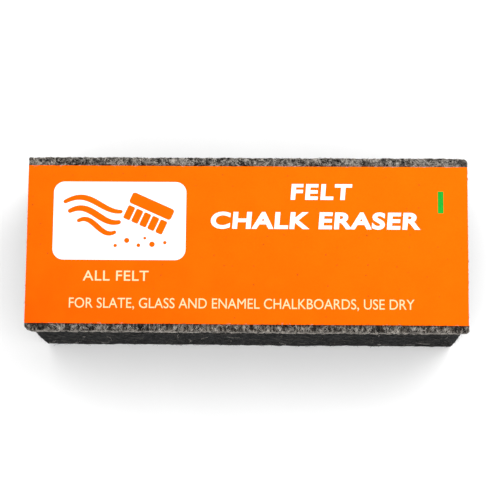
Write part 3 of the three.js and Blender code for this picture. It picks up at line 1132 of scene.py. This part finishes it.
for s, tag, patch in ((-1, "left", back_ends[0]), (1, "right", back_ends[1])):
    on_end = dict(length=(0.7, 2.2), lift=(0.10, 0.32), stray=0.06, keep_in=0.20, tuft=5, spread=0.09)
    fuzz(f"fuzz_back_pale_{tag}", [(patch, 900, dict(on_end))], (0.020, 0.034), FIBRE_PALE, 111 + s)
    fuzz(f"fuzz_back_grey_{tag}", [(patch, 620, dict(on_end))], (0.020, 0.036), FIBRE_GREY, 121 + s)
    fuzz(f"fuzz_back_black_{tag}", [(patch, 620, dict(on_end))], (0.022, 0.038), FIBRE_BLACK, 131 + s)


# -------------------------------------------------------------------- label


def make_label():
    r = 0.05
    size = LABEL_HI - LABEL_LO
    pts, quads = lattice(steps(size[0], 1.3, r), steps(size[1], 1.3, r), steps(size[2], 0.1, r))
    pts = softened(pts, size, r)
    base = pts + LABEL_LO
    if volume_of(base, quads) < 0:
        quads = quads[:, ::-1]
    out = base.copy()
    out[:, 2] += paper(base)
    # hand-cut edges are not quite straight
    for axis in (0, 1):
        other = 1 - axis
        for side, at in ((LABEL_LO[axis], 0), (LABEL_HI[axis], 1)):
            near = np.clip(1 - np.abs(base[:, axis] - side) / 2.0, 0, 1)
            out[:, axis] += near * 0.05 * line_noise(base[:, other], 19.0, 300 + axis * 2 + at)
    nrm = np.cross(out[quads[:, 2]] - out[quads[:, 0]], out[quads[:, 3]] - out[quads[:, 1]])
    nrm /= np.maximum(np.linalg.norm(nrm, axis=1, keepdims=True), 1e-12)
    side = (nrm[:, 2] < 0.4).astype(int)
    ob = mesh_object("printed_label", out, quads, material_index=side)
    dress(ob, ORANGE, CARD_CORE)
    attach(ob, "root")
    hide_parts("label_card")
    return ob


def paper(p):
    """The card follows the felt under it, a few hundredths of a millimetre up and down."""
    q = p.copy()
    q[:, 2] = 0
    return 0.016 * noise(q, 24.0, 501) - 0.016


label = make_label()

INK_UP = 0.030  # how far the ink's face stands over the card, in millimetres
INK_DOWN = 0.010


def settle(ob):
    """Lays a flat piece of print, made at z = 0, on the card."""
    me = ob.data
    co = np.empty(len(me.vertices) * 3, np.float32)
    me.vertices.foreach_get("co", co)
    co = co.reshape(-1, 3).astype(float) / MM
    co[:, 2] += TOP + paper(co)
    me.vertices.foreach_set("co", (co * MM).astype(np.float32).ravel())
    me.update()


def finish_print(ob, mat):
    settle(ob)
    dress(ob, mat)
    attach(ob, "root")
    return ob


def prism(name, outlines, low=-INK_DOWN, high=INK_UP, cell=2.0):
    """A flat closed piece of print from 2D outlines in millimetres."""
    bm = bmesh.new()
    for outline in outlines:
        bottom = [bm.verts.new((x * MM, y * MM, low * MM)) for x, y in outline]
        topv = [bm.verts.new((x * MM, y * MM, high * MM)) for x, y in outline]
        area = sum(
            outline[i][0] * outline[(i + 1) % len(outline)][1]
            - outline[(i + 1) % len(outline)][0] * outline[i][1]
            for i in range(len(outline))
        )
        if area < 0:
            bottom, topv = bottom[::-1], topv[::-1]
        bm.faces.new(topv)
        bm.faces.new(bottom[::-1])
        n = len(topv)
        for i in range(n):
            j = (i + 1) % n
            bm.faces.new((bottom[i], bottom[j], topv[j], topv[i]))
    bmesh.ops.triangulate(bm, faces=[f for f in bm.faces if len(f.verts) > 4])
    me = bpy.data.meshes.new(name)
    bm.to_mesh(me)
    bm.free()
    ob = bpy.data.objects.new(name, me)
    bpy.context.scene.collection.objects.link(ob)
    return ob


def rounded_rect(x0, x1, y0, y1, r, n=10):
    pts = []
    for cx, cy, a0 in ((x1 - r, y0 + r, -90), (x1 - r, y1 - r, 0), (x0 + r, y1 - r, 90), (x0 + r, y0 + r, 180)):
        for i in range(n + 1):
            a = math.radians(a0 + 90 * i / n)
            pts.append((cx + r * math.cos(a), cy + r * math.sin(a)))
    return pts


def white_panel():
    """The panel as a fine disc of rings, so that it follows the card."""
    x0, x1, y0, y1 = -55.97, -17.61, -4.78, 18.12
    r = 3.15
    outline = np.array(rounded_rect(x0, x1, y0, y1, r, 12))
    # more points along the straight sides
    dense = []
    for i in range(len(outline)):
        a, b = outline[i], outline[(i + 1) % len(outline)]
        n = max(1, int(np.linalg.norm(b - a) / 1.6))
        for j in range(n):
            dense.append(a + (b - a) * j / n)
    outline = np.array(dense)
    centre = np.array([(x0 + x1) / 2, (y0 + y1) / 2])
    rings = [centre + (outline - centre) * f for f in (1, 0.93, 0.83, 0.7, 0.55, 0.38, 0.2)]
    n = len(outline)
    verts, faces = [], []
    for ring in rings:
        verts += [(x, y, INK_UP) for x, y in ring]
    verts.append((*centre, INK_UP))
    base = len(verts)
    verts += [(x, y, -INK_DOWN) for x, y in outline]
    verts.append((*centre, -INK_DOWN))
    tris = []
    for k in range(len(rings) - 1):
        for i in range(n):
            j = (i + 1) % n
            a, b, c, d = k * n + i, k * n + j, (k + 1) * n + j, (k + 1) * n + i
            tris += [(a, b, c), (a, c, d)]
    k = len(rings) - 1
    for i in range(n):
        tris.append((k * n + i, k * n + (i + 1) % n, base - 1))
    for i in range(n):
        j = (i + 1) % n
        tris += [(base + j, base + i, base + n), (base + i, base + j, j), (base + i, j, i)]
    ob = mesh_object("print_white_panel", verts, tris, smooth=False)
    return finish_print(ob, WHITE)


def capsule(points, width, n=8):
    """A stroke of even width with round ends along points."""
    p = np.array(points, float)
    t = np.gradient(p, axis=0)
    t /= np.linalg.norm(t, axis=1, keepdims=True)
    side = np.stack([-t[:, 1], t[:, 0]], 1)
    w = np.asarray(width, float) * np.ones(len(p)) / 2
    left, right = p + side * w[:, None], p - side * w[:, None]
    out = [tuple(v) for v in right]
    a0 = math.atan2(t[-1, 1], t[-1, 0])
    for i in range(1, n):
        a = a0 - math.pi / 2 + math.pi * i / n
        out.append((p[-1, 0] + w[-1] * math.cos(a), p[-1, 1] + w[-1] * math.sin(a)))
    out += [tuple(v) for v in left[::-1]]
    a0 = math.atan2(t[0, 1], t[0, 0])
    for i in range(1, n):
        a = a0 + math.pi / 2 + math.pi * i / n
        out.append((p[0, 0] + w[0] * math.cos(a), p[0, 1] + w[0] * math.sin(a)))
    return out


def disc(cx, cy, r, n=20):
    return [(cx + r * math.cos(2 * math.pi * i / n), cy + r * math.sin(2 * math.pi * i / n)) for i in range(n)]


def turned(points, cx, cy, angle):
    c, s = math.cos(angle), math.sin(angle)
    return [(cx + x * c - y * s, cy + x * s + y * c) for x, y in points]


def picture():
    """A plain picture of what the thing is for: a felt block wiping a curved path, with dust under it."""
    shapes = []
    cx, cy, a = -28.6, 8.6, math.radians(-24)
    shapes.append(turned(rounded_rect(-6.6, 6.6, 0.9, 4.3, 0.8, 5), cx, cy, a))
    for i in range(5):
        x0 = -6.2 + i * 2.56
        shapes.append(turned(rounded_rect(x0, x0 + 2.1, -3.9, 0.25, 0.45, 4), cx, cy, a))
    for k, (dy, w, start, end) in enumerate(((3.2, 1.7, -52.6, -36.5), (0.0, 1.9, -51.2, -37.0), (-3.2, 1.6, -48.6, -38.2))):
        xs = np.linspace(start, end, 26)
        u = (xs - start) / (end - start)
        ys = 8.2 + dy + 2.1 * np.sin(u * 4.4 + 0.4 + 0.25 * k)
        width = w * (0.45 + 0.55 * np.sin(np.pi * (0.12 + 0.76 * u)))
        shapes.append(capsule(np.stack([xs, ys], 1), width))
    for x, y, r in ((-34.6, 0.9, 0.75), (-31.2, -0.5, 0.55), (-27.3, -0.2, 0.8), (-37.9, -0.6, 0.5), (-23.6, 0.3, 0.5), (-29.4, 1.6, 0.42)):
        shapes.append(disc(x, y, r))
    ob = prism("print_orange_picture", shapes, low=0.0, high=INK_UP + 0.022)
    return finish_print(ob, ORANGE_MARK)


def lettering(name, body, x0, x1, base, cap, weight=0.0, spacing=1.0, shear=0.0, mat=None):
    """Plain capitals fitted between x0 and x1 on the line y = base, cap high."""
    curve = bpy.data.curves.new(name, "FONT")
    curve.body = body
    curve.size = 1.0
    curve.offset = weight
    curve.space_character = spacing
    curve.shear = shear
    curve.resolution_u = 5
    curve.extrude = 0.02
    tmp = bpy.data.objects.new(name + "_tmp", curve)
    bpy.context.scene.collection.objects.link(tmp)
    bpy.context.view_layer.update()
    me = bpy.data.meshes.new_from_object(tmp.evaluated_get(bpy.context.evaluated_depsgraph_get()))
    me.name = name
    bpy.data.objects.remove(tmp)
    bpy.data.curves.remove(curve)
    co = np.empty(len(me.vertices) * 3, np.float32)
    me.vertices.foreach_get("co", co)
    co = co.reshape(-1, 3).astype(float)
    lo, hi = co.min(0), co.max(0)
    cap_unit = 0.7 + 2 * weight
    low_unit = -weight
    co[:, 0] = x0 + (co[:, 0] - lo[0]) / (hi[0] - lo[0]) * (x1 - x0)
    co[:, 1] = base + (co[:, 1] - low_unit) / cap_unit * cap
    co[:, 2] = np.where(co[:, 2] > 0, INK_UP, -INK_DOWN)
    me.vertices.foreach_set("co", (co * MM).astype(np.float32).ravel())
    bm = bmesh.new()
    bm.from_mesh(me)
    bmesh.ops.remove_doubles(bm, verts=bm.verts, dist=1e-7)
    bmesh.ops.dissolve_degenerate(bm, edges=bm.edges, dist=1e-8)
    bmesh.ops.recalc_face_normals(bm, faces=bm.faces)
    bm.to_mesh(me)
    bm.free()
    ob = bpy.data.objects.new(name, me)
    bpy.context.scene.collection.objects.link(ob)
    return finish_print(ob, mat or WHITE)


panel = white_panel()
mark = picture()
lettering("print_heading", "FELT", 12.5, 30.3, 13.1, 4.75, weight=0.036, spacing=1.14, shear=0.06)
lettering("print_title", "CHALK ERASER", -10.45, 49.85, 4.5, 5.05, weight=0.037, spacing=1.09, shear=0.06)
lettering("print_small", "ALL FELT", -47.0, -28.1, -10.85, 3.0, weight=0.006, spacing=1.06, mat=CREAM)
lettering("print_line", "FOR SLATE, GLASS AND ENAMEL CHALKBOARDS, USE DRY", -50.8, 48.0, -18.7, 2.95, weight=0.0, mat=CREAM)
tick = prism("print_green_tick", [rounded_rect(54.9, 56.5, 9.3, 15.7, 0.12, 3)])
finish_print(tick, GREEN)

# --------------------------------------------------- carried-over CAD nodes

for i in range(1, 6):
    for kind in ("needle", "bobbin"):
        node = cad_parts[f"{kind}_thread_{i}"]
        dress(node, THREAD)
dress(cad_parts["label_glue_film"], GLUE)

# ---------------------------------------------------------- floor and light


def make_floor():
    me = bpy.data.meshes.new("floor")
    s = 3.0
    me.from_pydata([(-s, -s, -0.00005), (s, -s, -0.00005), (s, s, -0.00005), (-s, s, -0.00005)], [], [(0, 1, 2, 3)])
    ob = bpy.data.objects.new("floor", me)
    bpy.context.scene.collection.objects.link(ob)
    m = Nodes("pale_floor")
    p = m.place()
    n = m.noise(p, 0.05, 3.0, 0.5)
    m.set(Base_Color=m.mix(m.ramp(n, 0.3, 0.7), (0.955, 0.955, 0.955), (0.97, 0.97, 0.97)))
    m.bsdf.inputs["Roughness"].default_value = 0.9
    m.bsdf.inputs["Specular IOR Level"].default_value = 0.1
    dress(ob, m.mat)


make_floor()


def area(name, place, size, energy, colour=(1, 1, 1), aim=(0, 0, 0.01)):
    data = bpy.data.lights.new(name, "AREA")
    data.shape = "RECTANGLE"
    data.size, data.size_y = size
    data.energy = energy
    data.color = colour
    ob = bpy.data.objects.new(name, data)
    ob.location = place
    ob.rotation_euler = (Vector(aim) - Vector(place)).to_track_quat("-Z", "Y").to_euler()
    bpy.context.scene.collection.objects.link(ob)


world = bpy.data.worlds.new("studio")
bpy.context.scene.world = world
world.use_nodes = True
world.node_tree.nodes["Background"].inputs[0].default_value = (1.0, 1.0, 1.0, 1)
world.node_tree.nodes["Background"].inputs[1].default_value = 1.0

area("key", (0.34, 0.30, 0.52), (0.42, 0.42), 1.55, aim=(0.03, 0.01, 0.03))
area("fill", (-0.55, -0.95, 0.75), (1.0, 0.8), 3.0)
area("back_fill", (-0.35, 0.95, 0.55), (1.0, 0.7), 2.2)
area("side_fill", (1.05, -0.10, 0.45), (0.7, 0.6), 1.4)

bpy.context.scene.view_settings.view_transform = "Standard"
bpy.context.scene.view_settings.look = "None"
